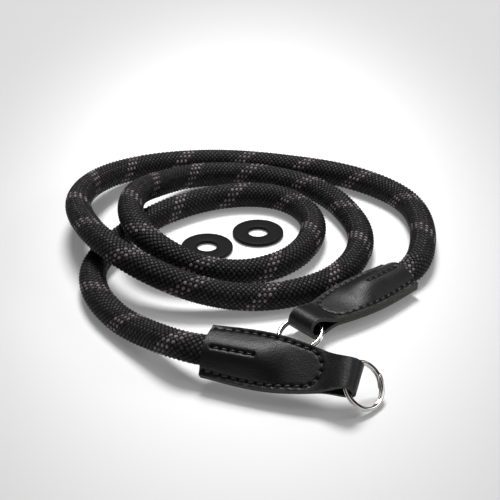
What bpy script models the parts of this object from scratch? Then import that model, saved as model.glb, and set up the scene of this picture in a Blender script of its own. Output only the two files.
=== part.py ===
"""A coiled camera strap: a braided rope with a folded leather end and a split ring at each end.

Run with: blender --background --python part.py
Units are metres, +Z is up and the strap lies on the plane z = 0. Two loose washers lie in the coil.
"""
import math

import bmesh
import bpy
import numpy as np
from mathutils import Euler, Matrix, Vector

# Rope
ROPE_DIAMETER = 0.0105
ROPE_SIDES = 14
ROPE_POINTS = 84
ROPE_SQUEEZE = 0.62          # height of the rope's end in the pocket, as a share of its diameter
ROPE_SPREAD = 1.08           # width of the rope's end there
ROPE_TAIL = 0.021            # rope held inside each pocket
ROPE_STRAIGHT = 0.0052       # rope still in line with the pocket outside its mouth

# Leather ends: one strip each, folded over on itself, local +X from the mouth to the fold
LEATHER_LENGTH = 0.053
LEATHER_WIDTH = 0.020
LEATHER_LAYER = 0.0015
POCKET_CLEARANCE = 0.0003
POCKET_RISE = 0.0006         # the rope's axis above the middle of the two layers
POCKET_SPARE = 0.0012        # empty pocket past the rope's end
FLANGE_START = 0.0022        # half width of the bulge's crown
FLANGE_SEAM = 0.0088         # where the two layers meet beside the rope
TAB_LOOP_RADIUS = 0.0027     # inside of the fold that holds the ring
TAB_GAPE_LENGTH = 0.0136     # from the fold's crest to where the layers close up
TAB_WALL = 0.0013

# Split rings: two turns of wire lying on each other
RING_DIAMETER = 0.0170
RING_WIRE = 0.00085
RING_TURN_GAP = 0.00025
RING_JOGGLE = math.radians(24)
RING_END_GAP = math.radians(7)
RING_STEPS_PER_TURN = 26

# Loose washers
WASHER_DIAMETER = 0.0205
WASHER_HOLE = 0.0080
WASHER_THICKNESS = 0.0015
WASHER_EDGE = 0.0002
WASHER_STEPS = 40

# The middle of the box round the ends, rings and washers, taken as the origin
ORIGIN_X = 0.0175
ORIGIN_Y = -0.0431

# The leather end's outline and bulge from the mouth to the start of the fold, as shares of
# LEATHER_LENGTH, LEATHER_WIDTH and the bulge's height
LEATHER_SECTIONS = (
    # along, width, bulge
    (0.00, 0.905, 1.00),
    (0.08, 0.930, 1.00),
    (0.18, 0.975, 1.00),
    (0.30, 1.000, 1.00),
    (0.38, 1.000, 0.97),
    (0.44, 0.985, 0.75),
    (0.50, 0.955, 0.35),
    (0.56, 0.910, 0.08),
    (0.63, 0.845, 0.00),
    (0.70, 0.770, 0.00),
    (0.78, 0.670, 0.00),
    (0.86, 0.585, 0.00),
)
TAB_END_WIDTH = 0.530        # share of LEATHER_WIDTH at the fold
FOLD_ANGLES = (0, 22, 44, 62, 77, 87)
SECTION_POINTS = 13

# How each leather end lies: place of its mouth, turn about Z, roll about its length, downward pitch
END_POSES = {
    # name: x, y, lift of its lowest edge, yaw, roll, pitch
    "front": (-0.0145, -0.0861, 0.0038, -19.0, 36.0, -0.8),
    "right": (0.0560, -0.0278, 0.0, -137.0, 0.0, -1.6),
}

# How each ring lies in its loop: its wire's place from the loop's middle, lean about Y, tip about X
RING_POSES = {
    # name: forward, sideways, up, lean, tip
    "front": (-0.0009, -0.0004, 0.0012, 47.0, -8.0),
    "right": (-0.0031, 0.0013, 0.0004, 19.0, 1.0),
}

WASHER_PLACES = {
    # name: x, y
    "right": (0.0032, 0.0124),
    "left": (-0.0170, 0.0008),
}

# The rope's route from the front end's mouth to the right end's mouth, chosen by hand in
# millimetres: x, y and how far the rope's underside is lifted off the surface
ROUTE = (
    (-32.5, -73.9, 3.0), (-46.5, -57.9, 0.0), (-56.5, -40.0, 0.0), (-58.5, -20.5, 0.0),
    (-51.5, -2.0, 0.0), (-41.0, 14.5, 0.0), (-26.5, 28.0, 0.0), (-8.5, 36.0, 0.0),
    (11.0, 34.5, 0.0), (23.5, 20.0, 0.0), (24.0, 0.5, 0.0), (14.5, -17.0, 0.0),
    (-2.0, -26.5, 0.3), (-21.5, -27.5, 4.3), (-38.0, -19.0, 10.2), (-46.0, -1.5, 11.7),
    (-45.5, 18.0, 10.2), (-37.5, 36.0, 5.6), (-25.0, 50.5, 1.8), (-6.5, 56.0, 0.0),
    (12.5, 51.0, 0.0), (29.0, 40.0, 0.0), (39.0, 23.0, 0.0), (43.5, 3.5, 0.0),
    (40.2, -15.7, 0.0), (29.5, -32.0, 0.0), (13.3, -41.6, 0.0), (-5.5, -45.0, 1.3),
    (-25.0, -43.5, 5.7), (-42.5, -35.5, 10.2), (-55.5, -21.5, 11.4), (-64.5, -3.5, 10.4),
    (-68.5, 15.5, 8.2), (-65.5, 35.0, 5.6), (-56.0, 52.0, 2.7), (-40.5, 64.0, 0.5),
    (-21.0, 68.5, 0.0), (-1.5, 67.5, 0.0), (18.0, 63.0, 0.0), (36.5, 56.5, 0.0),
    (53.0, 45.5, 0.0), (65.0, 29.5, 0.0), (68.5, 10.0, 0.0), (66.7, -8.0, 0.3),
)
MM = 0.001

ROPE_RADIUS = ROPE_DIAMETER / 2
POCKET_HALF_WIDTH = ROPE_RADIUS * ROPE_SPREAD + POCKET_CLEARANCE
POCKET_HALF_HEIGHT = ROPE_RADIUS * ROPE_SQUEEZE + POCKET_CLEARANCE
BULGE_HALF_HEIGHT = POCKET_HALF_HEIGHT + LEATHER_LAYER
POCKET_DEPTH = ROPE_TAIL + POCKET_SPARE
FOLD_RADIUS = TAB_LOOP_RADIUS + TAB_WALL
FOLD_CENTRE = LEATHER_LENGTH - FOLD_RADIUS
GAPE_START = LEATHER_LENGTH - TAB_GAPE_LENGTH
RING_RADIUS = (RING_DIAMETER - RING_WIRE) / 2


def clear_scene():
    for item in list(bpy.data.objects):
        bpy.data.objects.remove(item, do_unlink=True)


def new_collection(name):
    group = bpy.data.collections.new(name)
    bpy.context.scene.collection.children.link(group)
    return group


def make_material(name, color, roughness, metallic=0.0):
    material = bpy.data.materials.new(name)
    material.use_nodes = True
    shader = material.node_tree.nodes["Principled BSDF"]
    shader.inputs["Base Color"].default_value = (*color, 1.0)
    shader.inputs["Roughness"].default_value = roughness
    shader.inputs["Metallic"].default_value = metallic
    return material


def add_object(name, data, group, material=None):
    item = bpy.data.objects.new(name, data)
    group.objects.link(item)
    if material:
        data.materials.append(material)
    return item


def shade(mesh, angle_degrees):
    mesh.shade_smooth()
    mesh.set_sharp_from_angle(angle=math.radians(angle_degrees))


def mesh_from_curve(item):
    """Turn a curve object into a welded mesh of its own."""
    graph = bpy.context.evaluated_depsgraph_get()
    mesh = bpy.data.meshes.new_from_object(item.evaluated_get(graph))
    welded = bmesh.new()
    welded.from_mesh(mesh)
    bmesh.ops.remove_doubles(welded, verts=welded.verts, dist=0.00001)
    bmesh.ops.recalc_face_normals(welded, faces=welded.faces)
    welded.to_mesh(mesh)
    welded.free()
    bpy.data.objects.remove(item, do_unlink=True)
    return mesh


def wire_curve(name, points, radius, resolution):
    """A round wire along the points, with filled caps."""
    curve = bpy.data.curves.new(name, "CURVE")
    curve.dimensions = "3D"
    curve.bevel_depth = radius
    curve.bevel_resolution = resolution
    curve.use_fill_caps = True
    curve.twist_mode = "MINIMUM"
    spline = curve.splines.new("POLY")
    spline.points.add(len(points) - 1)
    for index, place in enumerate(points):
        spline.points[index].co = (*place, 1.0)
    spline.use_smooth = True
    return curve


def smoothstep(share):
    share = min(max(share, 0.0), 1.0)
    return share * share * (3 - 2 * share)


def gape(along):
    """Share of the loop's opening between the two layers of the tab."""
    return min(max((along - GAPE_START) / (FOLD_CENTRE - GAPE_START), 0.0), 1.0)


def half_thickness(along):
    """Half the thickness of the two layers where no rope is between them."""
    return max(LEATHER_LAYER, TAB_WALL + TAB_LOOP_RADIUS * gape(along))


def leather_outline(along, half_width, half_thick, bulge):
    """One closed section of the leather end's outside, top from +Y to -Y, then the underside back."""
    steps = [math.cos(math.pi * i / (SECTION_POINTS - 1)) for i in range(SECTION_POINTS)]
    top_rise = (BULGE_HALF_HEIGHT + POCKET_RISE - half_thick) * bulge
    under_drop = (BULGE_HALF_HEIGHT - POCKET_RISE - half_thick) * bulge

    def crown(y):
        return 1 - smoothstep((abs(y) - FLANGE_START) / (FLANGE_SEAM - FLANGE_START))

    top = [(along, half_width * s, half_thick + top_rise * crown(half_width * s)) for s in steps]
    under = [(along, -half_width * s, -half_thick - under_drop * crown(half_width * s)) for s in steps]
    return top + under


def pocket_outline(along):
    """One oval section of the rope's pocket, with as many points as the outside."""
    count = 2 * SECTION_POINTS
    turns = [math.pi * 2 * (i + 0.5) / count for i in range(count)]
    return [
        (along, POCKET_HALF_WIDTH * math.cos(t), POCKET_RISE + POCKET_HALF_HEIGHT * math.sin(t))
        for t in turns
    ]


def leather_loft():
    """The leather end as a loft: outside from fold to mouth, then down into the blind pocket."""
    outside = []
    for share, width, bulge in LEATHER_SECTIONS:
        along = share * LEATHER_LENGTH
        outside.append(leather_outline(along, width * LEATHER_WIDTH / 2, half_thickness(along), bulge))
    for angle in FOLD_ANGLES:
        along = FOLD_CENTRE + FOLD_RADIUS * math.sin(math.radians(angle))
        thick = FOLD_RADIUS * math.cos(math.radians(angle))
        outside.append(leather_outline(along, TAB_END_WIDTH * LEATHER_WIDTH / 2, thick, 0.0))
    pocket = [pocket_outline(share * POCKET_DEPTH) for share in (0.0, 0.5, 1.0)]
    rings = outside[::-1] + pocket

    mesh = bmesh.new()
    loops = [[mesh.verts.new(place) for place in ring] for ring in rings]
    for first, second in zip(loops, loops[1:]):
        for i in range(len(first)):
            j = (i + 1) % len(first)
            mesh.faces.new((first[i], first[j], second[j], second[i]))
    mesh.faces.new(loops[0])
    mesh.faces.new(reversed(loops[-1]))
    bmesh.ops.recalc_face_normals(mesh, faces=mesh.faces)
    data = bpy.data.meshes.new("leather_end")
    mesh.to_mesh(data)
    mesh.free()
    return data


def loop_cutter(name, group):
    """The teardrop space inside the fold, as a cutter across the tab."""
    closing = math.asin(TAB_LOOP_RADIUS / (FOLD_CENTRE - GAPE_START))
    start = math.pi / 2 + closing
    count = 16
    outline = [(GAPE_START, 0.0)]
    for i in range(count + 1):
        turn = start - 2 * start * i / count
        outline.append((FOLD_CENTRE + TAB_LOOP_RADIUS * math.cos(turn), TAB_LOOP_RADIUS * math.sin(turn)))
    curve = bpy.data.curves.new(name, "CURVE")
    curve.dimensions = "2D"
    curve.fill_mode = "BOTH"
    curve.extrude = LEATHER_WIDTH
    spline = curve.splines.new("POLY")
    spline.points.add(len(outline) - 1)
    for index, (x, z) in enumerate(outline):
        spline.points[index].co = (x, z, 0.0, 1.0)
    spline.use_cyclic_u = True
    mesh = mesh_from_curve(add_object(name, curve, group))
    mesh.transform(Matrix.Rotation(math.radians(90), 4, "X"))
    cutter = add_object(name, mesh, group)
    cutter.hide_render = True
    cutter.display_type = "WIRE"
    return cutter


def make_leather_end(name, pose, group, cutters, material):
    """One leather end, laid on the surface or held a little above it by the rope and the ring."""
    x, y, lift, yaw, roll, pitch = pose
    end = add_object("leather_end_" + name, leather_loft(), group, material)
    shade(end.data, 40)
    turn = Euler([math.radians(a) for a in (roll, pitch, yaw)], "XYZ")
    end.rotation_euler = turn
    lowest = min((turn.to_matrix() @ v.co).z for v in end.data.vertices)
    end.location = (x - ORIGIN_X, y - ORIGIN_Y, lift - lowest)

    cutter = loop_cutter("cut_loop_" + name, cutters)
    cutter.parent = end
    opening = end.modifiers.new("ring loop", "BOOLEAN")
    opening.object = cutter
    opening.operation = "DIFFERENCE"
    opening.solver = "EXACT"
    return end, Matrix.LocRotScale(end.location, turn, None)


def ring_points():
    """The middle of a split ring's wire: two flat turns joined by a short joggle."""
    rise = RING_WIRE + RING_TURN_GAP
    last = 4 * math.pi - RING_JOGGLE - RING_END_GAP
    count = 2 * RING_STEPS_PER_TURN + 6
    points = []
    for i in range(count + 1):
        turn = last * i / count
        climb = smoothstep((turn - 2 * math.pi + RING_JOGGLE) / RING_JOGGLE)
        points.append(Vector((RING_RADIUS * math.cos(turn), RING_RADIUS * math.sin(turn), rise * (climb - 0.5))))
    return points


def make_split_ring(name, pose, end_matrix, group, material):
    """A split ring, threaded through the loop of the leather end and lying as it falls."""
    forward, sideways, up, lean, tip = pose
    seat = Matrix.Translation((FOLD_CENTRE + forward, sideways, up))
    turned = Matrix.Rotation(math.radians(lean), 4, "Y") @ Matrix.Rotation(math.radians(tip), 4, "X")
    reach = Matrix.Translation((RING_RADIUS, 0.0, 0.0))
    curve = wire_curve("split_ring_" + name, ring_points(), RING_WIRE / 2, 2)
    ring = add_object("split_ring_" + name, curve, group, material)
    ring.matrix_world = end_matrix @ seat @ turned @ reach
    return ring


def make_washer(name, place, group, material):
    """A flat washer with slightly rounded rims, turned about its own axis."""
    outer, inner = WASHER_DIAMETER / 2, WASHER_HOLE / 2
    top, rim = WASHER_THICKNESS, WASHER_EDGE
    profile = (
        (outer - rim, top), (outer, top - rim), (outer, rim), (outer - rim, 0.0),
        (inner + rim, 0.0), (inner, rim), (inner, top - rim), (inner + rim, top),
    )
    mesh = bmesh.new()
    verts = [mesh.verts.new((x, 0.0, z)) for x, z in profile]
    for i, vert in enumerate(verts):
        mesh.edges.new((vert, verts[(i + 1) % len(verts)]))
    data = bpy.data.meshes.new("washer_" + name)
    mesh.to_mesh(data)
    mesh.free()
    washer = add_object("washer_" + name, data, group, material)
    washer.location = (place[0] - ORIGIN_X, place[1] - ORIGIN_Y, 0.0)
    turned = washer.modifiers.new("turned", "SCREW")
    turned.steps = WASHER_STEPS
    turned.render_steps = WASHER_STEPS
    turned.use_merge_vertices = True
    turned.merge_threshold = 0.00001
    turned.use_smooth_shade = False
    return washer


def natural_spline(points, count):
    """Evenly spaced points on the natural cubic spline through the given points."""
    points = np.array(points)
    steps = np.linalg.norm(np.diff(points, axis=0), axis=1)
    knots = np.concatenate([[0.0], np.cumsum(steps)])
    size = len(points)
    system = np.eye(size)
    slopes = np.zeros_like(points)
    for i in range(1, size - 1):
        system[i, i - 1:i + 2] = (steps[i - 1], 2 * (steps[i - 1] + steps[i]), steps[i])
        slopes[i] = 6 * ((points[i + 1] - points[i]) / steps[i] - (points[i] - points[i - 1]) / steps[i - 1])
    bends = np.linalg.solve(system, slopes)

    fine = np.linspace(0.0, knots[-1], 40 * size)
    left = np.clip(np.searchsorted(knots, fine, side="right") - 1, 0, size - 2)
    h = steps[left][:, None]
    a = (knots[left + 1] - fine)[:, None] / h
    b = 1 - a
    curve = a * points[left] + b * points[left + 1]
    curve += ((a**3 - a) * bends[left] + (b**3 - b) * bends[left + 1]) * h * h / 6
    lengths = np.concatenate([[0.0], np.cumsum(np.linalg.norm(np.diff(curve, axis=0), axis=1))])
    even = np.linspace(0.0, lengths[-1], count)
    return np.stack([np.interp(even, lengths, curve[:, axis]) for axis in range(3)], axis=1), lengths[-1]


def rope_route(front, right):
    """The rope's centre line, from inside the front pocket to inside the right one."""
    def held(matrix, depths):
        return [matrix @ Vector((depth, 0.0, POCKET_RISE)) for depth in depths]

    free = [(x * MM - ORIGIN_X, y * MM - ORIGIN_Y, ROPE_RADIUS + lift * MM) for x, y, lift in ROUTE]
    depths = (ROPE_TAIL, ROPE_TAIL / 2, 0.0, -ROPE_STRAIGHT)
    return held(front, depths) + free + held(right, depths[::-1])


def rope_ups(points, front, right):
    """Each section's up direction, carried along the rope and true to both pockets."""
    tangents = np.gradient(points, axis=0)
    tangents /= np.linalg.norm(tangents, axis=1)[:, None]
    ups = np.zeros_like(points)
    up = np.array(front.col[2][:3])
    for index, tangent in enumerate(tangents):
        up = up - tangent * up.dot(tangent)
        up /= np.linalg.norm(up)
        ups[index] = up
    sides = np.cross(tangents, ups)
    wanted = np.array(right.col[2][:3])
    twist = math.atan2(wanted.dot(sides[-1]), wanted.dot(ups[-1]))
    turns = np.linspace(0.0, twist, len(points))[:, None]
    return ups * np.cos(turns) + sides * np.sin(turns), sides * np.cos(turns) - ups * np.sin(turns)


def make_rope(front, right, group, material):
    """The rope as a loft: round in the open, pressed flat and wide inside both pockets."""
    points, length = natural_spline([tuple(p) for p in rope_route(front, right)], ROPE_POINTS)
    place = np.linspace(0.0, length, ROPE_POINTS)
    from_end = np.minimum(place, length - place)
    free = np.array([smoothstep((depth - ROPE_TAIL) / ROPE_DIAMETER) for depth in from_end])
    high = ROPE_RADIUS * (ROPE_SQUEEZE + (1 - ROPE_SQUEEZE) * free)
    wide = ROPE_RADIUS * (ROPE_SPREAD + (1 - ROPE_SPREAD) * free)
    points[:, 2] = np.maximum(points[:, 2], high)
    ups, sides = rope_ups(points, front, right)

    mesh = bmesh.new()
    rings = []
    for index, point in enumerate(points):
        ring = []
        for turn in np.linspace(0.0, 2 * math.pi, ROPE_SIDES, endpoint=False):
            across = sides[index] * wide[index] * math.cos(turn)
            upward = ups[index] * high[index] * math.sin(turn)
            ring.append(mesh.verts.new(point + across + upward))
        rings.append(ring)
    for first, second in zip(rings, rings[1:]):
        for i in range(ROPE_SIDES):
            j = (i + 1) % ROPE_SIDES
            mesh.faces.new((first[i], first[j], second[j], second[i]))
    mesh.faces.new(rings[0])
    mesh.faces.new(reversed(rings[-1]))
    bmesh.ops.recalc_face_normals(mesh, faces=mesh.faces)
    data = bpy.data.meshes.new("rope")
    mesh.to_mesh(data)
    mesh.free()
    shade(data, 40)
    return add_object("rope", data, group, material)


def main():
    clear_scene()
    strap = new_collection("camera_strap")
    cutters = new_collection("cutters")
    rope_black = make_material("braided_rope", (0.020, 0.019, 0.020), 0.75)
    leather_black = make_material("black_leather", (0.018, 0.018, 0.019), 0.38)
    steel = make_material("polished_steel", (0.78, 0.78, 0.80), 0.15, 1.0)
    washer_black = make_material("washer_black", (0.016, 0.016, 0.016), 0.55)

    placed = {}
    for name, pose in END_POSES.items():
        _, placed[name] = make_leather_end(name, pose, strap, cutters, leather_black)
        make_split_ring(name, RING_POSES[name], placed[name], strap, steel)
    make_rope(placed["front"], placed["right"], strap, rope_black)
    for name, place in WASHER_PLACES.items():
        make_washer(name, place, strap, washer_black)


main()
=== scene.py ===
"""The coiled camera strap as it looks: braided rope, sewn leather ends, steel split rings, washers.

Everything is in metres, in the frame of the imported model, with the strap lying on z = 0.
"""

import math

import bpy
import numpy as np
from mathutils import Euler, Matrix, Vector


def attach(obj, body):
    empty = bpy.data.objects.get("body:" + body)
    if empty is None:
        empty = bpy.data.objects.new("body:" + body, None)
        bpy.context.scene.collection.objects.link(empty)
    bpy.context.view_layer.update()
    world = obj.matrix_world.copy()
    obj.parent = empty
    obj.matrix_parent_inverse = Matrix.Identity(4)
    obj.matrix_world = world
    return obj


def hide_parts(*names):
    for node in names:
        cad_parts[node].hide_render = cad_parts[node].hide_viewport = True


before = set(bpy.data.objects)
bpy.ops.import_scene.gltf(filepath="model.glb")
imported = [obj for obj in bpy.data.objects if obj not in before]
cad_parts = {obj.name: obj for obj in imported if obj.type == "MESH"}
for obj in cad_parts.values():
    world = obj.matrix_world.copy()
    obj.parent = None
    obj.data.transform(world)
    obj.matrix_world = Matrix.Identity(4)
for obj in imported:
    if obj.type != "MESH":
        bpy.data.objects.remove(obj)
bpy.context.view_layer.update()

MM = 0.001

# Where the strap lies on the table, and the camera that looks down at it
ORIGIN = Vector((0.0175, -0.0431, 0.0))
CAMERA_PITCH = math.radians(30.0)
CAMERA_DISTANCE = 0.5258
CAMERA_LENS = 95.9
CAMERA_SENSOR = 36.0

# Rope, round in the open and pressed flat in the pockets at its ends
ROPE_DIAMETER = 0.0105
ROPE_RADIUS = ROPE_DIAMETER / 2
ROPE_TAIL = 0.021            # how deep each end goes into its pocket
ROPE_STRAIGHT = 0.0052       # how far it runs straight out of the mouth
ROPE_SQUEEZE = 0.62          # its height in the mouth, as a share of the round rope's
ROPE_PINCH = 0.52            # its height deeper in, where the leather presses on it
ROPE_PINCH_RUN = 0.003       # how far in that is
ROPE_SPREAD = 1.08           # its width in the pocket
ROPE_RISE = 0.0006           # its middle in the pocket, above the middle of the two layers
SPLINE_SAMPLES = 60          # for each point of the route, before the line is spaced evenly

# Braid: yarns run both ways round the rope, each showing at every other crossing
BRAID_YARNS = 14
BRAID_STITCH = 0.00191
BRAID_RELIEF = 0.00062
BRAID_FALL = 0.6             # under 1, so a stitch falls steeply from its crest
LIGHT_YARNS = 3              # side by side, in one direction only
FIBRE_SLANT = 0.22           # of the fine fibres on a stitch
FIBRE_SPACING = 34.0         # radians of the fibres' wave for each yarn across
FIBRE_RELIEF = 0.06          # their height, as a share of the stitch's

# The rope's route between the two mouths: x, y and how far its underside is lifted, in millimetres
ROUTE = (
    (-32.5, -73.9, 3.0), (-46.5, -57.9, 0.0), (-56.5, -40.0, 0.0), (-58.5, -20.5, 0.0),
    (-51.5, -2.0, 0.0), (-41.0, 14.5, 0.0), (-26.5, 28.0, 0.0), (-8.5, 36.0, 0.0),
    (11.0, 34.5, 0.0), (23.5, 20.0, 0.0), (24.0, 0.5, 0.0), (14.5, -17.0, 0.0),
    (-2.0, -26.5, 0.3), (-21.5, -27.5, 4.3), (-38.0, -19.0, 10.2), (-46.0, -1.5, 11.7),
    (-45.5, 18.0, 10.2), (-37.5, 36.0, 5.6), (-25.0, 50.5, 1.8), (-6.5, 56.0, 0.0),
    (12.5, 51.0, 0.0), (29.0, 40.0, 0.0), (39.0, 23.0, 0.0), (43.5, 3.5, 0.0),
    (40.2, -15.7, 0.0), (29.5, -32.0, 0.0), (13.3, -41.6, 0.0), (-5.5, -45.0, 1.3),
    (-25.0, -43.5, 5.7), (-42.5, -35.5, 10.2), (-55.5, -21.5, 11.4), (-64.5, -3.5, 10.4),
    (-68.5, 15.5, 8.2), (-65.5, 35.0, 5.6), (-56.0, 52.0, 2.7), (-40.5, 64.0, 0.5),
    (-21.0, 68.5, 0.0), (-1.5, 67.5, 0.0), (18.0, 63.0, 0.0), (36.5, 56.5, 0.0),
    (53.0, 45.5, 0.0), (65.0, 29.5, 0.0), (68.5, 10.0, 0.0), (66.7, -8.0, 0.3),
)

# Leather ends: local +X runs from the mouth to the fold, +Z is the outside of the upper layer
LEATHER_LENGTH = 0.053
LEATHER_WIDTH = 0.020
LEATHER_LAYER = 0.0015
LEATHER_WALL = 0.00145       # a little thinner than a layer, so that the two don't touch
LEATHER_EDGE = 0.0002
LEATHER_STEP = 0.0003        # between the points of the sheet
POCKET_CLEARANCE = 0.0003
FLANGE_SEAM = 0.0088         # half the width of the bulge over the rope
CROWN_ROUND = 1.35
TAB_LOOP_RADIUS = 0.0027
TAB_WALL = 0.0013
TAB_GAPE_LENGTH = 0.0136     # from where the layers part to the fold's outside
TAB_END_WIDTH = 0.530
TAB_TWISTS = {"front": math.radians(10), "right": 0.0}

POCKET_HALF_HEIGHT = ROPE_RADIUS * ROPE_SQUEEZE + POCKET_CLEARANCE
BULGE_HALF_HEIGHT = POCKET_HALF_HEIGHT + LEATHER_LAYER
FOLD_RADIUS = TAB_LOOP_RADIUS + TAB_WALL
FOLD_CENTRE = LEATHER_LENGTH - FOLD_RADIUS
GAPE_START = LEATHER_LENGTH - TAB_GAPE_LENGTH

# The same outline and bulge as the solid part: shares of the length, width and bulge
LEATHER_SECTIONS = (
    # along, width, bulge
    (0.00, 0.905, 1.00), (0.08, 0.930, 1.00), (0.18, 0.975, 1.00), (0.30, 1.000, 1.00),
    (0.38, 1.000, 0.97), (0.44, 0.985, 0.75), (0.50, 0.955, 0.35), (0.56, 0.910, 0.08),
    (0.63, 0.845, 0.00), (0.70, 0.770, 0.00), (0.78, 0.670, 0.00), (0.86, 0.585, 0.00),
    (0.95, TAB_END_WIDTH, 0.00), (1.00, TAB_END_WIDTH, 0.00),
)
WIDTH_SMOOTHING = (-0.04, -0.02, 0.0, 0.02, 0.04)
BULGE_SMOOTHING = np.linspace(-0.06, 0.06, 7)

# Place of each mouth before the origin is taken off, and its turn: x, y, z, yaw, roll, pitch
END_POSES = {
    "front": (-0.0145, -0.0861, 0.01067, -19.0, 36.0, -0.8),
    "right": (0.0560, -0.0278, 0.00445, -137.0, 0.0, -1.6),
}

# Sewing: a seam near the edge and round the nose, and a short row along the middle
SEAM_INSET = 0.0017          # from the cut edge to the seam
SEAM_START = 0.0014          # from the mouth to the first hole
SEAM_NOSE = 0.0335           # where the seam starts its turn round the nose
SEAM_PRESS = 0.00018         # how far the thread presses the leather down, and how wide
SEAM_PRESS_WIDTH = 0.0007
SEAM_POINTS = 1200           # on each straight and on the nose
SEAM_STRIDE = 6              # only every sixth is needed to find the nearest one
SEAM_BATCH = 4000            # places looked up together
HOLE_RADIUS = 0.00055
HOLE_DEPTH = 0.0006
CENTRE_STITCHES = 5
CENTRE_START = 0.0030
CENTRE_PITCH = 0.0029
CENTRE_SLANT = 0.06
GROOVE_DEPTH = 0.0006
GROOVE_WIDTH = 0.00075
GROOVE_REACH = 0.0012        # past the first and last hole
GROOVE_FADE = 0.0016

STITCH_PITCH = 0.0031
STITCH_THICKNESS = 0.00058
STITCH_SLANT = math.radians(11)
STITCH_GAP = 0.0001          # half of what lies between two stitches
STITCH_SIDES = 8
STITCH_SHAPE = (
    # along, height of the thread's middle in millimetres, thickness
    (-1.0, -0.75, 0.6), (-0.66, -0.12, 0.95), (-0.26, 0.12, 1.0),
    (0.26, 0.12, 1.0), (0.66, -0.12, 0.95), (1.0, -0.75, 0.6),
)
HEADING_REACH = 0.0003       # how far ahead the seam is looked at for its direction
SLOPE_REACH = 0.0004         # and the leather for its slope
SIDE_SLOPE = 0.5             # taut thread follows only half of the leather's slope across

# Split rings
RING_DIAMETER = 0.0170
RING_WIRE = 0.00085
RING_RADIUS = (RING_DIAMETER - RING_WIRE) / 2
RING_WIRE_WIDTH = 0.0013     # flattened, so wider than the turns are thick
RING_TURN_GAP = 0.00025
RING_CLEARANCE = 0.00004     # each turn stays this far from the middle between the two
RING_THINNEST = 0.00003      # half the wire's height at its ground ends
RING_JOGGLE = math.radians(34)
RING_STARTS = {"front": math.radians(50), "right": math.radians(196)}
RING_SECTIONS = 310
RING_SIDES = 20
RING_POSES = {
    # how the wire lies in the loop: forward, sideways, up, lean, tip
    "front": (-0.0009, -0.0004, 0.0012, 47.0, -8.0),
    "right": (-0.0031, 0.0013, 0.0004, 19.0, 1.0),
}

# Washers
WASHER_DIAMETER = 0.0205
WASHER_HOLE = 0.0080
WASHER_THICKNESS = 0.0015
WASHER_RIM = 0.00036
WASHER_SIDES = 112
WASHER_CIRCLES = (1.0, 0.8, 0.6, WASHER_HOLE / WASHER_DIAMETER)
WASHER_PLACES = {"right": (0.0032, 0.0124), "left": (-0.0170, 0.0008)}

# Colours, each pair from dark to light
BLACK_YARN = ((0.0026, 0.0024, 0.0025), (0.036, 0.0315, 0.0330))
# painted shade: the colour the yarns darken to in the hollows between stitches
YARN_GAP_SHADE = (0.0002, 0.0002, 0.0002)
LIGHT_YARN = (0.262, 0.224, 0.235)
BLACK_LEATHER = ((0.0055, 0.0053, 0.0056), (0.0115, 0.0111, 0.0115))
RUBBED_LEATHER = (0.100, 0.096, 0.093)
# painted shade inside the needle holes
NEEDLE_HOLE_SHADE = (0.0003, 0.0003, 0.0003)
CUT_EDGE = ((0.008, 0.008, 0.007), (0.080, 0.084, 0.074))
WAXED_THREAD = ((0.004, 0.004, 0.004), (0.032, 0.030, 0.030))
POLISHED_STEEL = ((0.56, 0.54, 0.525), (0.70, 0.68, 0.665))
WASHER_BLACK = ((0.0025, 0.0025, 0.0027), (0.0060, 0.0060, 0.0064))

# How far from a needle hole the leather is painted with the hole's shade, and from the cut edge it
# shows rubbing, in millimetres
HOLE_SHADE = 0.74
RUB_WIDTH = 0.75

# How fine the leather's pores, grain and soft folds are
PORE_SCALE = 1900.0
GRAIN_SCALE = 420.0
FOLD_SCALE = 90.0

# Floor: a painted pool of light, palest in the middle and about half as pale at the fade's
# distances along x and y
FLOOR_SIZE = 6.0
FLOOR_DROP = 0.0002          # just below the strap, so that the two don't flicker
FLOOR_MIDDLE = (-0.0175, 0.074)
FLOOR_FADE = (0.126, 0.263)
FLOOR_LIGHT_POOL_PEAK = 0.93
FLOOR_LIGHT_POOL_LEAST = 0.44
FLOOR_BLEND = 0.20
FLOOR_GLOW = 0.22            # a painted glow, as if lit a little from below, so its shadows stay grey

# Lights: place, what each is aimed at, width and power
LIGHTS = {
    "key light": ((-0.05, 0.531, 1.096), (-0.0175, 0.043, 0.0), 0.50, 16.4),
    "right side light": ((0.84, 0.04, 0.54), (0.0, 0.0, 0.0), 0.40, 1.5),
    "overhead light": ((-0.02, -0.07, 1.1), (-0.02, -0.04, 0.0), 0.60, 1.0),
}
DOME_RIM = (0.022, 0.022, 0.0225)
DOME_TOP = (0.50, 0.503, 0.508)
DOME_POWER = 8.0             # how closely the dome's light keeps to its top


def place_camera():
    """The camera at the photograph's height and distance, aimed at the middle of its frame."""
    target = -ORIGIN
    offset = Vector((0.0, -math.cos(CAMERA_PITCH), math.sin(CAMERA_PITCH))) * CAMERA_DISTANCE
    data = bpy.data.cameras.new("camera")
    data.lens = CAMERA_LENS
    data.sensor_width = CAMERA_SENSOR
    camera = bpy.data.objects.new("camera", data)
    bpy.context.scene.collection.objects.link(camera)
    camera.location = target + offset
    camera.rotation_euler = (-offset).to_track_quat("-Z", "Y").to_euler()
    bpy.context.scene.camera = camera


def smoothstep(share):
    share = np.clip(share, 0.0, 1.0)
    return share * share * (3 - 2 * share)


def unit(vectors):
    return vectors / np.linalg.norm(vectors, axis=-1, keepdims=True)


def end_matrix(name):
    """Where a leather end's mouth is, and how the end is turned."""
    x, y, z, yaw, roll, pitch = END_POSES[name]
    turn = Euler([math.radians(a) for a in (roll, pitch, yaw)], "XYZ")
    return Matrix.Translation(Vector((x, y, z)) - ORIGIN) @ turn.to_matrix().to_4x4()


def new_object(name, mesh):
    piece = bpy.data.objects.new(name, mesh)
    bpy.context.scene.collection.objects.link(piece)
    return piece


def select_only(piece):
    bpy.ops.object.select_all(action="DESELECT")
    piece.select_set(True)
    bpy.context.view_layer.objects.active = piece


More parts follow.
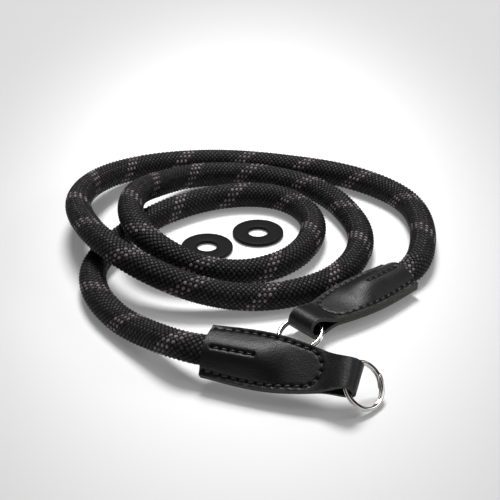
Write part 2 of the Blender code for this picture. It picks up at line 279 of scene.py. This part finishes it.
def apply_modifiers(piece):
    select_only(piece)
    for modifier in list(piece.modifiers):
        bpy.ops.object.modifier_apply(modifier=modifier.name)


def settle(piece, matrix):
    """Puts the piece's place into its mesh, so that its object sits at the origin."""
    piece.data.transform(matrix)
    piece.matrix_world = Matrix.Identity(4)


# Lines and tubes

def natural_spline(points, step):
    """Points about a step apart on the natural cubic spline through the given points."""
    points = np.array(points)
    steps = np.linalg.norm(np.diff(points, axis=0), axis=1)
    knots = np.concatenate([[0.0], np.cumsum(steps)])
    size = len(points)
    system = np.eye(size)
    slopes = np.zeros_like(points)
    for i in range(1, size - 1):
        system[i, i - 1:i + 2] = (steps[i - 1], 2 * (steps[i - 1] + steps[i]), steps[i])
        ahead = (points[i + 1] - points[i]) / steps[i]
        behind = (points[i] - points[i - 1]) / steps[i - 1]
        slopes[i] = 6 * (ahead - behind)
    bends = np.linalg.solve(system, slopes)

    fine = np.linspace(0.0, knots[-1], SPLINE_SAMPLES * size)
    left = np.clip(np.searchsorted(knots, fine, side="right") - 1, 0, size - 2)
    h = steps[left][:, None]
    a = (knots[left + 1] - fine)[:, None] / h
    b = 1 - a
    curve = a * points[left] + b * points[left + 1]
    curve += ((a**3 - a) * bends[left] + (b**3 - b) * bends[left + 1]) * h * h / 6
    lengths = np.concatenate([[0.0], np.cumsum(np.linalg.norm(np.diff(curve, axis=0), axis=1))])
    even = np.linspace(0.0, lengths[-1], 2 * round(lengths[-1] / step / 2) + 1)
    spread = [np.interp(even, lengths, curve[:, axis]) for axis in range(3)]
    return np.stack(spread, axis=1), lengths[-1]


def section_axes(points, first_up, last_up):
    """Each section's up and side directions, carried along the line and true at both ends."""
    tangents = unit(np.gradient(points, axis=0))
    ups = np.zeros_like(points)
    up = np.array(first_up)
    for index, tangent in enumerate(tangents):
        up = up - tangent * up.dot(tangent)
        up /= np.linalg.norm(up)
        ups[index] = up
    sides = np.cross(tangents, ups)
    twist = math.atan2(np.dot(last_up, sides[-1]), np.dot(last_up, ups[-1]))
    turns = np.linspace(0.0, twist, len(points))[:, None]
    return ups * np.cos(turns) + sides * np.sin(turns), sides * np.cos(turns) - ups * np.sin(turns)


def end_caps(rows, columns):
    """The two faces that close a tube of so many rows of so many points."""
    size = rows * columns
    return [list(range(columns)), list(range(size - 1, size - columns - 1, -1))]


def tube_mesh(name, rings):
    """A closed tube through rings of points, given as an array of rings, sides and coordinates."""
    count, sides = rings.shape[:2]
    start = (np.arange(count - 1) * sides)[:, None]
    i = np.arange(sides)[None, :]
    j = (i + 1) % sides
    quads = np.stack([start + i, start + sides + i, start + sides + j, start + j], axis=-1)
    faces = quads.reshape(-1, 4).tolist() + end_caps(count, sides)
    mesh = bpy.data.meshes.new(name)
    mesh.from_pydata(rings.reshape(-1, 3).tolist(), [], faces)
    mesh.shade_smooth()
    return mesh


# Rope

def rope_line():
    """The rope's centre line, from inside the front pocket to inside the right one."""
    def held(matrix, depths):
        return [matrix @ Vector((depth, 0.0, ROPE_RISE)) for depth in depths]

    free = [Vector((x * MM, y * MM, ROPE_RADIUS + lift * MM)) - ORIGIN for x, y, lift in ROUTE]
    depths = (ROPE_TAIL, ROPE_TAIL / 2, 0.0, -ROPE_STRAIGHT)
    route = held(end_matrix("front"), depths) + free + held(end_matrix("right"), depths[::-1])
    return natural_spline([tuple(p) for p in route], BRAID_STITCH / 4)


def braid_faces(rows, columns):
    """Diamonds between rows staggered by half a step, with each corner as (row, place)."""
    def corners(row_numbers, places):
        return np.stack([np.stack(row_numbers, axis=1), np.stack(places, axis=1)], axis=2)

    row, place = np.divmod(np.arange((rows - 2) * columns), columns)
    left = place - 1 + row % 2
    diamonds = corners([row, row + 1, row + 2, row + 1], [place, left, place, left + 1])
    edge = np.arange(columns)
    first, last = np.zeros_like(edge), np.full_like(edge, rows - 1)
    first_edge = corners([first, first + 1, first], [edge, edge, edge + 1])
    last_edge = corners([last, last, last - 1], [edge, edge + 1, edge])
    return diamonds, np.concatenate([first_edge, last_edge])


def make_rope():
    """The braided rope: a tube whose points are the crests, edges and hollows of its stitches."""
    points, length = rope_line()
    rows = len(points)
    place = np.linspace(0.0, length, rows)
    inside = ROPE_TAIL - np.minimum(place, length - place)
    free = smoothstep(-inside / ROPE_DIAMETER)
    pinch = ROPE_SQUEEZE + (ROPE_PINCH - ROPE_SQUEEZE) * smoothstep(inside / ROPE_PINCH_RUN)
    high = ROPE_RADIUS * (pinch + (1 - pinch) * free)
    wide = ROPE_RADIUS * (ROPE_SPREAD + (1 - ROPE_SPREAD) * free)
    points[:, 2] = np.maximum(points[:, 2], high)
    first, last = (np.array(end_matrix(name).col[2][:3]) for name in ("front", "right"))
    ups, sides = section_axes(points, first, last)

    # u counts yarns round the rope and v stitches along it, with four rows of points to a stitch
    columns = 2 * BRAID_YARNS
    u = np.arange(columns)[None, :] / 2 + (np.arange(rows) % 2)[:, None] / 4
    v = np.arange(rows)[:, None] / 4
    p, q = u + v, u - v
    gap = ((p - np.round(p)) ** 2 + (q - np.round(q)) ** 2) * 2
    sink = BRAID_RELIEF * gap ** BRAID_FALL
    turn = 2 * np.pi * u / BRAID_YARNS
    across = sides[:, None, :] * ((wide[:, None] - sink) * np.cos(turn))[..., None]
    upward = ups[:, None, :] * ((high[:, None] - sink) * np.sin(turn))[..., None]
    skin = points[:, None, :] + across + upward

    diamonds, edges = braid_faces(rows, columns)
    faces = []
    for part in (diamonds, edges):
        faces += (part[..., 0] * columns + part[..., 1] % columns).tolist()
    mesh = bpy.data.meshes.new("braided_rope")
    mesh.from_pydata(skin.reshape(-1, 3).tolist(), [], faces + end_caps(rows, columns))
    mesh.shade_smooth()
    mesh.materials.append(rope_finish())
    rope = new_object("braided_rope", mesh)

    braid = mesh.uv_layers.new(name="braid")
    corners = np.concatenate([diamonds.reshape(-1, 2), edges.reshape(-1, 2)])
    layout = np.zeros((len(mesh.loops), 2))
    layout[:len(corners), 0] = corners[:, 1] / 2 + corners[:, 0] % 2 / 4
    layout[:len(corners), 1] = corners[:, 0] / 4
    braid.uv.foreach_set("vector", layout.ravel().astype(np.float32))

    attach(rope, "root")
    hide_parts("rope")
    mouth = end_matrix("front") @ Vector((0.0, 0.0, ROPE_RISE))
    [tuple(p) for p in points[::8]]


# Leather ends

def smoothed(x, values, shifts):
    """A column of the sections at x, averaged over a few places near it."""
    along = np.array(LEATHER_SECTIONS)[:, 0]
    share = x / LEATHER_LENGTH
    return sum(np.interp(share + shift, along, values) for shift in shifts) / len(shifts)


def leather_half_width(x):
    width = np.array(LEATHER_SECTIONS)[:, 1]
    return smoothed(x, width, WIDTH_SMOOTHING) * LEATHER_WIDTH / 2


def leather_height(x, y, side):
    """Height of a layer's outside above the middle of the two layers; side is 1 above, -1 below."""
    gape = smoothstep((x - GAPE_START) / (FOLD_CENTRE - GAPE_START))
    half = LEATHER_LAYER + (FOLD_RADIUS - LEATHER_LAYER) * gape
    swell = smoothed(x, np.array(LEATHER_SECTIONS)[:, 2], BULGE_SMOOTHING)
    crown = np.clip(1 - (y / FLANGE_SEAM) ** 2, 0.0, 1.0) ** CROWN_ROUND
    rise = (BULGE_HALF_HEIGHT + ROPE_RISE * side - half) * swell * crown

    centre_end = CENTRE_START + CENTRE_STITCHES * CENTRE_PITCH
    pulled = smoothstep((x - CENTRE_START + GROOVE_REACH) / GROOVE_FADE)
    pulled = pulled * smoothstep((centre_end + GROOVE_REACH - x) / GROOVE_FADE)
    groove = GROOVE_DEPTH * np.exp(-(y / GROOVE_WIDTH) ** 2) * pulled
    along, off = seam_place(x, y)
    press = SEAM_PRESS * np.exp(-(off / SEAM_PRESS_WIDTH) ** 2)
    hole = np.minimum(hole_distance(along, off, 0.0, SEAM_PITCH, SEAM_STITCHES),
                      hole_distance(x, y, CENTRE_START, CENTRE_PITCH, CENTRE_STITCHES))
    pit = HOLE_DEPTH * np.exp(-(hole / HOLE_RADIUS) ** 2)
    return half + rise - groove - press - pit


def leather_slope(x, y, side):
    """How steeply a layer's outside climbs along the strip and across it."""
    reach = SLOPE_REACH
    along = leather_height(x + reach, y, side) - leather_height(x - reach, y, side)
    across = leather_height(x, y + reach, side) - leather_height(x, y - reach, side)
    return along / (2 * reach), across / (2 * reach)


def hole_distance(along, off, first, pitch, stitches):
    """How far a point is from the nearest hole of a row of stitches."""
    nearest = np.clip(np.round((along - first) / pitch), 0, stitches)
    return np.hypot(along - first - nearest * pitch, off)


def seam_line():
    """The seam's line: along one edge, round the nose and back along the other."""
    straight = np.linspace(SEAM_START, SEAM_NOSE, SEAM_POINTS)
    edge = leather_half_width(straight) - SEAM_INSET
    nose = edge[-1]
    turn = np.linspace(np.pi / 2, -np.pi / 2, SEAM_POINTS)[1:-1]
    x = np.concatenate([straight, SEAM_NOSE + nose * np.cos(turn), straight[::-1]])
    y = np.concatenate([edge, nose * np.sin(turn), -edge[::-1]])
    lengths = np.concatenate([[0.0], np.cumsum(np.hypot(np.diff(x), np.diff(y)))])
    return x, y, lengths


SEAM = seam_line()
SEAM_STITCHES = round(SEAM[2][-1] / STITCH_PITCH)
SEAM_PITCH = SEAM[2][-1] / SEAM_STITCHES


def seam_place(x, y):
    """How far along the seam a point lies, and how far off it."""
    line_x, line_y, lengths = (values[::SEAM_STRIDE] for values in SEAM)
    run_x, run_y = np.gradient(line_x, lengths), np.gradient(line_y, lengths)
    x, y = np.broadcast_arrays(np.asarray(x, dtype=float), np.asarray(y, dtype=float))
    flat_x, flat_y = x.ravel(), y.ravel()
    along = np.zeros(flat_x.size)
    off = np.zeros(flat_x.size)
    for start in range(0, flat_x.size, SEAM_BATCH):
        part = slice(start, start + SEAM_BATCH)
        gap_x, gap_y = flat_x[part, None] - line_x, flat_y[part, None] - line_y
        nearest = np.hypot(gap_x, gap_y).argmin(axis=1)
        row = np.arange(len(nearest))
        gap_x, gap_y = gap_x[row, nearest], gap_y[row, nearest]
        along[part] = lengths[nearest] + gap_x * run_x[nearest] + gap_y * run_y[nearest]
        off[part] = np.abs(gap_x * run_y[nearest] - gap_y * run_x[nearest])
    return along.reshape(x.shape), off.reshape(x.shape)


def leather_point(s, t, twist):
    """A place on the strip's outside, s along it over the fold and t across, from -1 to 1."""
    fold = np.pi * FOLD_RADIUS
    turned = np.clip((s - FOLD_CENTRE) / FOLD_RADIUS, 0.0, np.pi)
    lower = s > FOLD_CENTRE + fold
    flat = (s <= FOLD_CENTRE) | lower
    x = np.where(lower, 2 * FOLD_CENTRE + fold - s, np.where(flat, s, FOLD_CENTRE))
    half_width = leather_half_width(np.maximum(x, 0.0))
    y = t * half_width
    edge = (1 - np.abs(t)) * half_width
    side = np.where(lower, -1.0, 1.0)
    z = np.where(flat, side * leather_height(x, y, side), FOLD_RADIUS * np.cos(turned))
    bent_x = np.where(flat, x, FOLD_CENTRE + FOLD_RADIUS * np.sin(turned))
    turn = twist * smoothstep((bent_x - GAPE_START) / (LEATHER_LENGTH - GAPE_START))
    across = y * np.cos(turn) + z * np.sin(turn)
    upward = z * np.cos(turn) - y * np.sin(turn)
    return np.stack([bent_x, across, upward], axis=-1), (x, y, edge)


def lay_map(mesh, name, first, second):
    """A UV map from two numbers for each vertex."""
    corners = np.zeros(len(mesh.loops), dtype=np.int64)
    mesh.loops.foreach_get("vertex_index", corners)
    values = np.stack([first[corners], second[corners]], axis=1).astype(np.float32)
    mesh.uv_layers.new(name=name).uv.foreach_set("vector", values.ravel())


def make_leather_end(name):
    """One strip folded over on itself, as a bent sheet given its thickness and softened edges."""
    length = 2 * FOLD_CENTRE + np.pi * FOLD_RADIUS
    long_steps, cross_steps = round(length / LEATHER_STEP), round(LEATHER_WIDTH / LEATHER_STEP)
    bpy.ops.object.select_all(action="DESELECT")
    bpy.ops.mesh.primitive_grid_add(x_subdivisions=long_steps, y_subdivisions=cross_steps, size=1)
    end = bpy.context.active_object
    end.name = end.data.name = "sewn_leather_" + name
    end.data.materials.append(leather_finish())
    end.data.materials.append(cut_edge_finish())
    grid = np.zeros(len(end.data.vertices) * 3)
    end.data.vertices.foreach_get("co", grid)
    grid = grid.reshape(-1, 3)
    s, t = (grid[:, 0] + 0.5) * length, grid[:, 1] * 2
    bent, (x, y, edge) = leather_point(s, t, TAB_TWISTS[name])
    end.data.vertices.foreach_set("co", bent.ravel())
    along, off = seam_place(x, y)
    lay_map(end.data, "seam", along / SEAM_PITCH, off / MM)
    lay_map(end.data, "panel", (x - CENTRE_START) / CENTRE_PITCH, y / MM)
    lay_map(end.data, "edge", edge / MM, x / MM)

    wall = end.modifiers.new("layer", "SOLIDIFY")
    wall.thickness = LEATHER_WALL
    wall.offset = -1.0
    wall.material_offset_rim = 1
    edges = end.modifiers.new("softened edges", "BEVEL")
    edges.width = LEATHER_EDGE
    edges.segments = 2
    edges.limit_method = "ANGLE"
    edges.angle_limit = math.radians(60)
    apply_modifiers(end)
    end.data.shade_smooth()
    settle(end, end_matrix(name))
    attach(end, "root")
    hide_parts("leather_end_" + name)


def make_stitch():
    """One stitch: thread that leaves a hole, lies on the leather and sinks into the next."""
    half = STITCH_PITCH / 2 - STITCH_GAP
    _, first_height, first_thickness = STITCH_SHAPE[0]
    bpy.ops.object.select_all(action="DESELECT")
    bpy.ops.mesh.primitive_circle_add(
        vertices=STITCH_SIDES, radius=STITCH_THICKNESS / 2 * first_thickness, fill_type="NGON",
        location=(-half, 0.0, first_height * MM), rotation=(0.0, math.radians(90), 0.0),
    )
    stitch = bpy.context.active_object
    bpy.ops.object.mode_set(mode="EDIT")
    bpy.ops.mesh.select_all(action="SELECT")
    for before, after in zip(STITCH_SHAPE, STITCH_SHAPE[1:]):
        step = ((after[0] - before[0]) * half, 0.0, (after[1] - before[1]) * MM)
        bpy.ops.mesh.extrude_region_move(TRANSFORM_OT_translate={"value": step})
        bpy.ops.transform.resize(value=(after[2] / before[2],) * 3)
    bpy.ops.mesh.select_all(action="SELECT")
    bpy.ops.mesh.normals_make_consistent(inside=False)
    bpy.ops.object.mode_set(mode="OBJECT")
    bpy.ops.object.transform_apply(location=True, rotation=True, scale=True)
    stitch.data.shade_smooth()
    return stitch


def stitch_places():
    """Where each stitch's middle is on the leather, and which way it runs: x, y, direction."""
    line_x, line_y, lengths = SEAM
    middles = (np.arange(SEAM_STITCHES) + 0.5) * SEAM_PITCH
    x, y = np.interp(middles, lengths, line_x), np.interp(middles, lengths, line_y)
    ahead_x = np.interp(middles + HEADING_REACH, lengths, line_x) - x
    ahead_y = np.interp(middles + HEADING_REACH, lengths, line_y) - y
    heading = np.arctan2(ahead_y, ahead_x) + STITCH_SLANT
    centre = CENTRE_START + (np.arange(CENTRE_STITCHES) + 0.5) * CENTRE_PITCH
    none = np.zeros(CENTRE_STITCHES)
    x, y = np.concatenate([x, centre]), np.concatenate([y, none])
    return x, y, np.concatenate([heading, none + CENTRE_SLANT])


def sew(name):
    """All the thread of one leather end, above and below, copied from one stitch."""
    pattern = make_stitch()
    x, y, heading = stitch_places()
    stitches = []
    for side in (1.0, -1.0):
        height = leather_height(x, y, side)
        slope_x, slope_y = leather_slope(x, y, side)
        for k in range(len(x)):
            up = Vector((-slope_x[k], -slope_y[k] * SIDE_SLOPE, 1.0)).normalized()
            up.z *= side
            run = Vector((math.cos(heading[k]), math.sin(heading[k]), 0.0))
            run = (run - up * run.dot(up)).normalized()
            turn = Matrix((run, up.cross(run), up)).transposed().to_4x4()
            stitch = new_object("stitch", pattern.data.copy())
            stitch.data.transform(Matrix.Translation((x[k], y[k], side * height[k])) @ turn)
            stitches.append(stitch)
    select_only(stitches[0])
    for stitch in stitches:
        stitch.select_set(True)
    bpy.ops.object.join()
    thread = bpy.context.active_object
    thread.name = thread.data.name = "seam_thread_" + name
    bpy.data.objects.remove(pattern)
    thread.data.materials.append(thread_finish())
    settle(thread, end_matrix(name))
    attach(thread, "root")


# Split rings

def make_split_ring(name):
    """Two turns of flat steel wire lying on each other, with ends ground thin at the joggle."""
    rise = RING_WIRE + RING_TURN_GAP
    turn = np.linspace(-RING_JOGGLE, 4 * math.pi, RING_SECTIONS)
    climb = smoothstep((turn - 2 * math.pi + RING_JOGGLE) / RING_JOGGLE)
    begun = smoothstep((turn + RING_JOGGLE) / RING_JOGGLE)
    left = smoothstep((4 * math.pi - turn) / RING_JOGGLE)
    half = np.maximum(rise / 2 * np.minimum(begun, left) - RING_CLEARANCE, RING_THINNEST)
    ground = (rise / 2 - RING_CLEARANCE - half) * np.sign(turn - 2 * math.pi)
    height = rise * (climb - 0.5) + ground

    place = turn + RING_STARTS[name]
    outward = np.stack([np.cos(place), np.sin(place), np.zeros_like(place)], axis=1)
    upward = np.array([0, 0, 1.0])
    line = outward * (RING_DIAMETER - RING_WIRE_WIDTH) / 2 + upward * height[:, None]
    around = np.linspace(0.0, 2 * np.pi, RING_SIDES, endpoint=False)
    wide = np.cos(around) * RING_WIRE_WIDTH / 2
    tall = np.sin(around) * half[:, None]
    rings = line[:, None] + outward[:, None] * wide[:, None] + upward * tall[..., None]
    ring = new_object("steel_ring_" + name, tube_mesh("steel_ring_" + name, rings))
    ring.data.materials.append(steel_finish())

    forward, sideways, up, lean, tip = RING_POSES[name]
    seat = Matrix.Translation((FOLD_CENTRE + forward, sideways, up))
    lean, tip = math.radians(lean), math.radians(tip)
    turned = Matrix.Rotation(lean, 4, "Y") @ Matrix.Rotation(tip, 4, "X")
    settle(ring, end_matrix(name) @ seat @ turned @ Matrix.Translation((RING_RADIUS, 0.0, 0.0)))
    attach(ring, "root")
    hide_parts("split_ring_" + name)


# Washers

def make_washer(name):
    """A thin disc with a round hole and softened rims."""
    x, y = WASHER_PLACES[name]
    bpy.ops.object.select_all(action="DESELECT")
    bpy.ops.mesh.primitive_circle_add(
        vertices=WASHER_SIDES, radius=WASHER_DIAMETER / 2, fill_type="NOTHING",
    )
    washer = bpy.context.active_object
    washer.name = washer.data.name = "soft_washer_" + name
    bpy.ops.object.mode_set(mode="EDIT")
    for before, after in zip(WASHER_CIRCLES, WASHER_CIRCLES[1:]):
        bpy.ops.mesh.extrude_region_move()
        bpy.ops.transform.resize(value=(after / before,) * 3)
    bpy.ops.mesh.select_all(action="SELECT")
    bpy.ops.mesh.normals_make_consistent(inside=False)
    bpy.ops.object.mode_set(mode="OBJECT")
    wall = washer.modifiers.new("thickness", "SOLIDIFY")
    wall.thickness = WASHER_THICKNESS
    wall.offset = 0.0
    rims = washer.modifiers.new("rims", "BEVEL")
    rims.width = WASHER_RIM
    rims.segments = 4
    rims.limit_method = "ANGLE"
    apply_modifiers(washer)
    bpy.ops.object.shade_smooth_by_angle(angle=math.radians(50))
    settle(washer, Matrix.Translation(Vector((x, y, WASHER_THICKNESS / 2)) - ORIGIN))
    washer.data.materials.append(washer_finish())
    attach(washer, "root")
    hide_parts("washer_" + name)


# Finishes

class Nodes:
    """The nodes of a material or of the world, fed with numbers, colours or other outputs."""

    def __init__(self, owner):
        owner.use_nodes = True
        self.owner = owner
        self.tree = owner.node_tree

    def feed(self, node, inputs):
        """Sets or links a node's inputs, each given by its name or number."""
        for key, value in inputs.items():
            socket = node.inputs[key]
            if isinstance(value, bpy.types.NodeSocket):
                self.tree.links.new(value, socket)
            elif socket.type == "RGBA":
                socket.default_value = (*value, 1.0)
            else:
                socket.default_value = value

    def add(self, kind, inputs, **settings):
        node = self.tree.nodes.new(kind)
        for name, value in settings.items():
            setattr(node, name, value)
        self.feed(node, inputs)
        return node

    def calc(self, operation, *values, clamp=False):
        inputs = dict(enumerate(values))
        return self.add("ShaderNodeMath", inputs, operation=operation, use_clamp=clamp).outputs[0]

    def mix(self, factor, first, second):
        inputs = {0: factor, 6: first, 7: second}
        return self.add("ShaderNodeMix", inputs, data_type="RGBA").outputs[2]

    def place(self):
        return self.add("ShaderNodeTexCoord", {}).outputs["Object"]

    def noise(self, scale, detail, roughness=0.5):
        inputs = {"Vector": self.place(), "Scale": scale, "Detail": detail, "Roughness": roughness}
        return self.add("ShaderNodeTexNoise", inputs).outputs[0]

    def bump(self, height, strength, distance):
        inputs = {"Height": height, "Strength": strength, "Distance": distance}
        return self.add("ShaderNodeBump", inputs).outputs[0]

    def layout(self, name):
        """The two numbers of a UV map."""
        layout = self.add("ShaderNodeUVMap", {}, uv_map=name)
        split = self.add("ShaderNodeSeparateXYZ", {0: layout.outputs[0]})
        return split.outputs[0], split.outputs[1]

    def finish(self, inputs):
        """Feeds the material's shader, and gives back the material."""
        self.feed(self.tree.nodes["Principled BSDF"], inputs)
        return self.owner


def rope_finish():
    """Black yarns braided both ways, with light ones side by side in one direction, and painted
    shade in the hollows between stitches.
    """
    nodes = Nodes(bpy.data.materials.new("black_braid"))
    calc = nodes.calc
    u, v = nodes.layout("braid")
    p, q = calc("ADD", u, v), calc("SUBTRACT", u, v)
    whole_p, whole_q = calc("ROUND", p), calc("ROUND", q)
    part_p, part_q = calc("SUBTRACT", p, whole_p), calc("SUBTRACT", q, whole_q)
    other_way = calc("FLOORED_MODULO", calc("ADD", whole_p, whole_q), 2.0)
    one_way = calc("SUBTRACT", 1.0, other_way)

    def either(straight, crossed):
        return calc("ADD", calc("MULTIPLY", straight, one_way),
                    calc("MULTIPLY", crossed, other_way))

    def rounded(place, stretch, power, clamp=False):
        """1 in the middle of a stitch and 0 at its edge."""
        off = calc("ABSOLUTE", calc("MULTIPLY", place, stretch))
        return calc("SUBTRACT", 1.0, calc("POWER", off, power), clamp=clamp)

    across, along = either(part_q, part_p), either(part_p, part_q)
    yarn = calc("FLOORED_MODULO", either(whole_q, whole_p), float(BRAID_YARNS))
    dive = rounded(along, 2.0, 4.0)
    hump = calc("MULTIPLY", rounded(across, 2.0, 2.2), dive)
    crest = calc("POWER", hump, 2.0)
    slanted = calc("ADD", across, calc("MULTIPLY", along, FIBRE_SLANT))
    fibres = calc("SINE", calc("MULTIPLY", slanted, FIBRE_SPACING))
    height = calc("ADD", hump, calc("MULTIPLY", fibres, FIBRE_RELIEF))

    stitch = nodes.add("ShaderNodeCombineXYZ", {0: whole_p, 1: whole_q}).outputs[0]
    chance = nodes.add("ShaderNodeTexWhiteNoise", {"Vector": stitch}, noise_dimensions="2D")
    luck = chance.outputs["Value"]
    light_yarn = calc("MULTIPLY", calc("LESS_THAN", yarn, LIGHT_YARNS - 0.5), one_way)
    bright = calc("ADD", 0.35, calc("MULTIPLY", luck, 0.65))
    slim = rounded(across, 2.15, 1.7, clamp=True)
    shown = calc("MULTIPLY", calc("MULTIPLY", slim, dive), 1.35, clamp=True)
    light = calc("MULTIPLY", calc("MULTIPLY", light_yarn, bright), shown, clamp=True)
    # Painted shade: away from each stitch's crest the yarns darken to near black in the hollows
    black = nodes.mix(crest, YARN_GAP_SHADE, nodes.mix(luck, *BLACK_YARN))
    return nodes.finish({
        "Base Color": nodes.mix(light, black, LIGHT_YARN),
        "Roughness": calc("SUBTRACT", 0.92, calc("MULTIPLY", crest, 0.56)),
        "Specular IOR Level": 0.27,
        "Normal": nodes.bump(height, 1.0, 0.00030),
    })


def leather_finish():
    """Smooth black leather with a fine grain, painted shade in its needle holes and slightly rubbed
    edges.
    """
    nodes = Nodes(bpy.data.materials.new("black_leather"))
    calc = nodes.calc

    def hole_gap(layout, pitch, stitches):
        """Millimetres to the nearest needle hole of a row."""
        along, off = nodes.layout(layout)
        nearest = calc("MINIMUM", calc("MAXIMUM", calc("ROUND", along), 0.0), float(stitches))
        step = calc("MULTIPLY", calc("SUBTRACT", along, nearest), pitch / MM)
        return calc("SQRT", calc("ADD", calc("MULTIPLY", step, step), calc("MULTIPLY", off, off)))

    hole = calc("MINIMUM", hole_gap("seam", SEAM_PITCH, SEAM_STITCHES),
                hole_gap("panel", CENTRE_PITCH, CENTRE_STITCHES))
    # Painted shade: the leather turns near black close to each needle hole
    pit = calc("MULTIPLY", calc("SUBTRACT", HOLE_SHADE, hole), 5.0, clamp=True)

    pores = nodes.add("ShaderNodeTexVoronoi", {"Vector": nodes.place(), "Scale": PORE_SCALE})
    grain = nodes.noise(GRAIN_SCALE, 6.0, 0.74)
    folds = nodes.noise(FOLD_SCALE, 2.0)
    height = calc("ADD", calc("MULTIPLY", pores.outputs["Distance"], 0.55),
                  calc("ADD", grain, calc("MULTIPLY", folds, 2.2)))

    edge, _ = nodes.layout("edge")
    near_edge = calc("MULTIPLY", calc("SUBTRACT", RUB_WIDTH, edge), 1.6, clamp=True)
    speck = calc("MULTIPLY", calc("SUBTRACT", grain, 0.50), 7.0, clamp=True)
    rub = calc("MULTIPLY", near_edge, speck)
    skin = nodes.mix(rub, nodes.mix(grain, *BLACK_LEATHER), RUBBED_LEATHER)
    rough = calc("ADD", 0.33, calc("MULTIPLY", grain, 0.18))
    return nodes.finish({
        "Base Color": nodes.mix(pit, skin, NEEDLE_HOLE_SHADE),
        "Roughness": calc("ADD", rough, calc("MULTIPLY", calc("ADD", pit, rub), 0.4)),
        "Specular IOR Level": 0.29,
        "Normal": nodes.bump(height, 0.70, 0.00016),
    })


def grainy_finish(name, scale, detail, colours, bump, roughness, specular):
    """An even finish whose grain shows in its colour and as bump, given as strength and height."""
    nodes = Nodes(bpy.data.materials.new(name))
    grain = nodes.noise(scale, detail)
    return nodes.finish({
        "Base Color": nodes.mix(grain, *colours),
        "Roughness": roughness,
        "Specular IOR Level": specular,
        "Normal": nodes.bump(grain, *bump),
    })


def cut_edge_finish():
    """The strip's cut edge: matte and a little fibrous."""
    return grainy_finish("cut_leather_edge", 1500.0, 4.0, CUT_EDGE, (0.8, 0.0002), 0.62, 0.25)


def thread_finish():
    """Waxed black thread."""
    return grainy_finish("waxed_thread", 2600.0, 3.0, WAXED_THREAD, (0.7, 0.00015), 0.45, 0.45)


def washer_finish():
    """Matte black, with a faint dusty grain."""
    return grainy_finish("washer_black", 700.0, 5.0, WASHER_BLACK, (0.4, 0.0001), 0.5, 0.10)


def steel_finish():
    """Polished steel wire with fine scuffs."""
    nodes = Nodes(bpy.data.materials.new("polished_steel"))
    scuff = nodes.noise(900.0, 4.0)
    return nodes.finish({
        "Base Color": nodes.mix(scuff, *POLISHED_STEEL),
        "Roughness": nodes.calc("ADD", 0.05, nodes.calc("MULTIPLY", scuff, 0.12)),
        "Metallic": 1.0,
    })


def floor_finish():
    """A pale matte floor with a painted pool of light that darkens away from its middle, and a
    painted glow.
    """
    nodes = Nodes(bpy.data.materials.new("pale_floor"))

    def vector(operation, first, second):
        return nodes.add("ShaderNodeVectorMath", {0: first, 1: second}, operation=operation).outputs

    off = vector("SUBTRACT", nodes.place(), (*FLOOR_MIDDLE, 0.0))[0]
    share = vector("DIVIDE", off, (*FLOOR_FADE, 1.0))[0]
    reach = vector("DOT_PRODUCT", share, share)["Value"]
    # Painted pool of light: the floor's colour, and its glow, fall away from the middle
    pale = nodes.calc("DIVIDE", FLOOR_LIGHT_POOL_PEAK, nodes.calc("ADD", 1.0, reach))
    pale = nodes.calc("SMOOTH_MAX", pale, FLOOR_LIGHT_POOL_LEAST, FLOOR_BLEND)
    return nodes.finish({
        "Base Color": pale,
        # Painted glow: the floor emits light of its own colour
        "Emission Color": pale,
        "Emission Strength": FLOOR_GLOW,
        "Roughness": 0.9,
        "Specular IOR Level": 0.1,
    })


# Floor and light

def make_floor():
    bpy.ops.object.select_all(action="DESELECT")
    bpy.ops.mesh.primitive_plane_add(size=FLOOR_SIZE)
    floor = bpy.context.active_object
    floor.name = "pale_floor"
    floor.location.z = -FLOOR_DROP
    floor.data.materials.append(floor_finish())


def soft_light(name, place, aim, width, power):
    data = bpy.data.lights.new(name, "AREA")
    data.shape = "DISK"
    data.size = width
    data.energy = power
    light = bpy.data.objects.new(name, data)
    bpy.context.scene.collection.objects.link(light)
    light.location = place
    light.rotation_euler = (Vector(aim) - Vector(place)).to_track_quat("-Z", "Y").to_euler()


def light_scene():
    """The soft lights, and a dome round the scene that is dim at its rim."""
    world = bpy.data.worlds.new("studio")
    nodes = Nodes(world)
    way = nodes.add("ShaderNodeTexCoord", {}).outputs["Generated"]
    height = nodes.add("ShaderNodeSeparateXYZ", {0: way}).outputs[2]
    rise = nodes.calc("POWER", nodes.calc("ABSOLUTE", height), DOME_POWER)
    dome = nodes.mix(rise, DOME_RIM, DOME_TOP)
    nodes.feed(world.node_tree.nodes["Background"], {"Color": dome, "Strength": 1.0})
    bpy.context.scene.world = world
    bpy.context.scene.view_settings.view_transform = "Standard"
    for name, settings in LIGHTS.items():
        soft_light(name, *settings)


place_camera()
make_rope()
for side in ("front", "right"):
    make_leather_end(side)
    sew(side)
    make_split_ring(side)
for side in WASHER_PLACES:
    make_washer(side)
make_floor()
light_scene()
